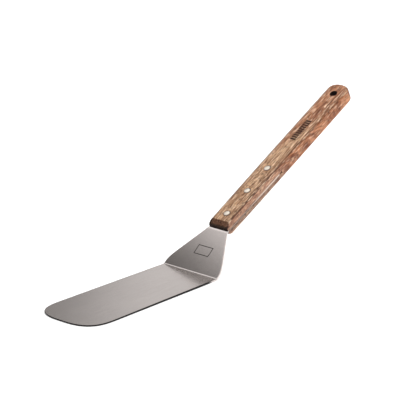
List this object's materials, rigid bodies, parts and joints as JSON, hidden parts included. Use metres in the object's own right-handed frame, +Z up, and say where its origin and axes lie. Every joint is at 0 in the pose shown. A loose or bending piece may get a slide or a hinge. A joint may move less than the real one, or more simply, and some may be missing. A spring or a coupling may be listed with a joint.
{
  "type": "offset spatula",
  "caption": "Kitchen turner with a long round-cornered steel blade, a cranked tapering neck and a riveted wooden handle with a hanging hole.",
  "frame": {"origin": "bottom centre of the whole turner, on the surface that the blade's lower face lies on", "axes": "+X from the blade's tip to the handle's butt, +Y across the blade, +Z up out of the blade's upper face; the turner is symmetric about Y = 0"},
  "size_m": [0.4666, 0.0776, 0.1558],
  "materials": {
    "steel": "satin",
    "rivet": "gloss",
    "wood": "satin"
  },
  "bodies": {
    "root": {"blade_and_tang": "steel", "handle": "wood", "rivet_1_pin": "rivet", "rivet_1_sleeve": "rivet", "rivet_2_pin": "rivet", "rivet_2_sleeve": "rivet", "rivet_3_pin": "rivet", "rivet_3_sleeve": "rivet"}
  },
  "joints": []
}
